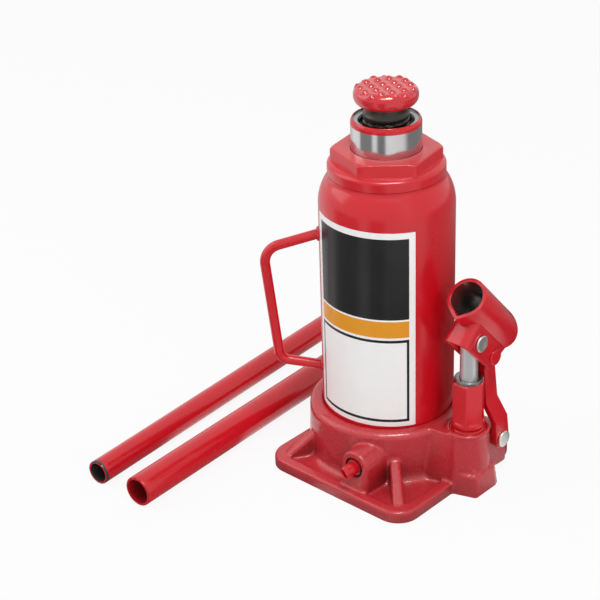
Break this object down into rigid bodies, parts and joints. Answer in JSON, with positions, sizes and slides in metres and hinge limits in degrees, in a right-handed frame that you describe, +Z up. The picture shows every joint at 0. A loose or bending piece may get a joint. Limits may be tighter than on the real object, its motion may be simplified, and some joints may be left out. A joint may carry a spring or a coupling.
{
  "type": "hydraulic bottle jack",
  "caption": "Upright hydraulic bottle jack: tank on a cast foot, ram with a screw-out saddle, lever pump with links, side carry handle and a loose tubular pump handle.",
  "frame": {"origin": "on the ground under the ram's axis, at the middle of the base casting's foot", "axes": "+Z up the ram, +X from the ram to the pump, -Y towards the release valve"},
  "size_m": [0.242, 0.3207, 0.2699],
  "materials": {
    "red_cast": "gloss red enamel over a sand casting",
    "red_enamel": "gloss red enamel",
    "ground_steel": "ground bright",
    "black_steel": "oil blackened",
    "zinc_steel": "bright zinc plate",
    "soft_copper": "annealed copper",
    "black_rubber": "oil-proof rubber"
  },
  "bodies": {
    "base": {"base_casting": "red_cast", "reservoir_tank": "red_enamel", "tank_bottom_gasket": "black_rubber", "tank_top_seal": "black_rubber", "pressure_cylinder": "ground_steel", "cylinder_washer": "soft_copper", "cap_nut": "red_enamel", "ram_wiper": "black_rubber", "carry_handle": "red_enamel", "pump_cylinder": "red_enamel", "pump_gasket": "soft_copper", "pump_gland_ring": "ground_steel", "inlet_ball": "ground_steel", "inlet_spring": "black_steel", "release_ball": "ground_steel", "relief_ball": "ground_steel", "relief_spring": "black_steel", "relief_screw": "black_steel", "lug_pin": "zinc_steel", "lug_pin_clip": "black_steel"},
    "ram": {"ram": "ground_steel", "piston_cup": "black_rubber", "piston_washer": "ground_steel", "piston_screw": "ground_steel"},
    "screw_stop": {"screw_stop_ring": "black_steel"},
    "screw": {"extension_screw": "black_steel", "saddle": "red_enamel"},
    "plunger": {"pump_plunger": "ground_steel", "plunger_cup": "black_rubber", "plunger_pin": "zinc_steel", "plunger_pin_clip": "black_steel"},
    "socket": {"handle_socket": "red_enamel", "link_top_pin": "red_enamel", "link_top_pin_clip": "black_steel"},
    "link": {"pump_link_outer": "red_enamel", "pump_link_inner": "red_enamel"},
    "release_valve": {"release_valve_stem": "red_enamel", "release_valve_ring": "black_rubber"},
    "filler_plug": {"filler_plug": "black_rubber"},
    "tube_thick": {"handle_tube_thick": "red_enamel"},
    "tube_slim": {"handle_tube_slim": "red_enamel"}
  },
  "joints": [
    {"name": "ram_slide", "type": "slide", "parent": "base", "child": "ram", "axis": [0, 0, 1], "range_m": [0, 0.15]},
    {"name": "screw_rise", "type": "slide", "parent": "ram", "child": "screw_stop", "axis": [0, 0, 1], "range_m": [-0.0081, 0.0521]},
    {"name": "screw_turn", "type": "hinge", "parent": "screw_stop", "child": "screw", "pos_m": [0, 0, 0.2], "axis": [0, 0, 1], "range_deg": [-720, 4680]},
    {"name": "plunger_slide", "type": "slide", "parent": "base", "child": "plunger", "axis": [0, 0, 1], "range_m": [-0.0155, 0.0005]},
    {"name": "socket_hinge", "type": "hinge", "parent": "plunger", "child": "socket", "pos_m": [0.069, 0, 0.11], "axis": [1, 0, 0], "range_deg": [0, 46]},
    {"name": "link_hinge", "type": "hinge", "parent": "base", "child": "link", "pos_m": [0.069, 0.0232, 0.0275], "axis": [1, 0, 0], "range_deg": [-7.5, 0.2]},
    {"name": "release_turn", "type": "hinge", "parent": "base", "child": "release_valve", "pos_m": [0.0229, -0.066, 0.0234], "axis": [0, -1, 0], "range_deg": [0, 540]},
    {"name": "filler_pull", "type": "slide", "parent": "base", "child": "filler_plug", "axis": [-0.1736, 0.9848, 0], "range_m": [0, 0.012]},
    {"name": "tube_thick_lift", "type": "slide", "parent": "base", "child": "tube_thick", "axis": [0, 0, 1], "range_m": [0, 0.1]},
    {"name": "tube_slim_lift", "type": "slide", "parent": "base", "child": "tube_slim", "axis": [0, 0, 1], "range_m": [0, 0.1]}
  ],
  "couplings": [
    {"joint": "screw_rise", "follows": "screw_turn", "m_per_rad": 0.00063662},
    {"joint": "plunger_slide", "follows": "socket_hinge", "m_per_rad": -0.01878},
    {"joint": "link_hinge", "follows": "socket_hinge", "ratio": -0.1587}
  ]
}
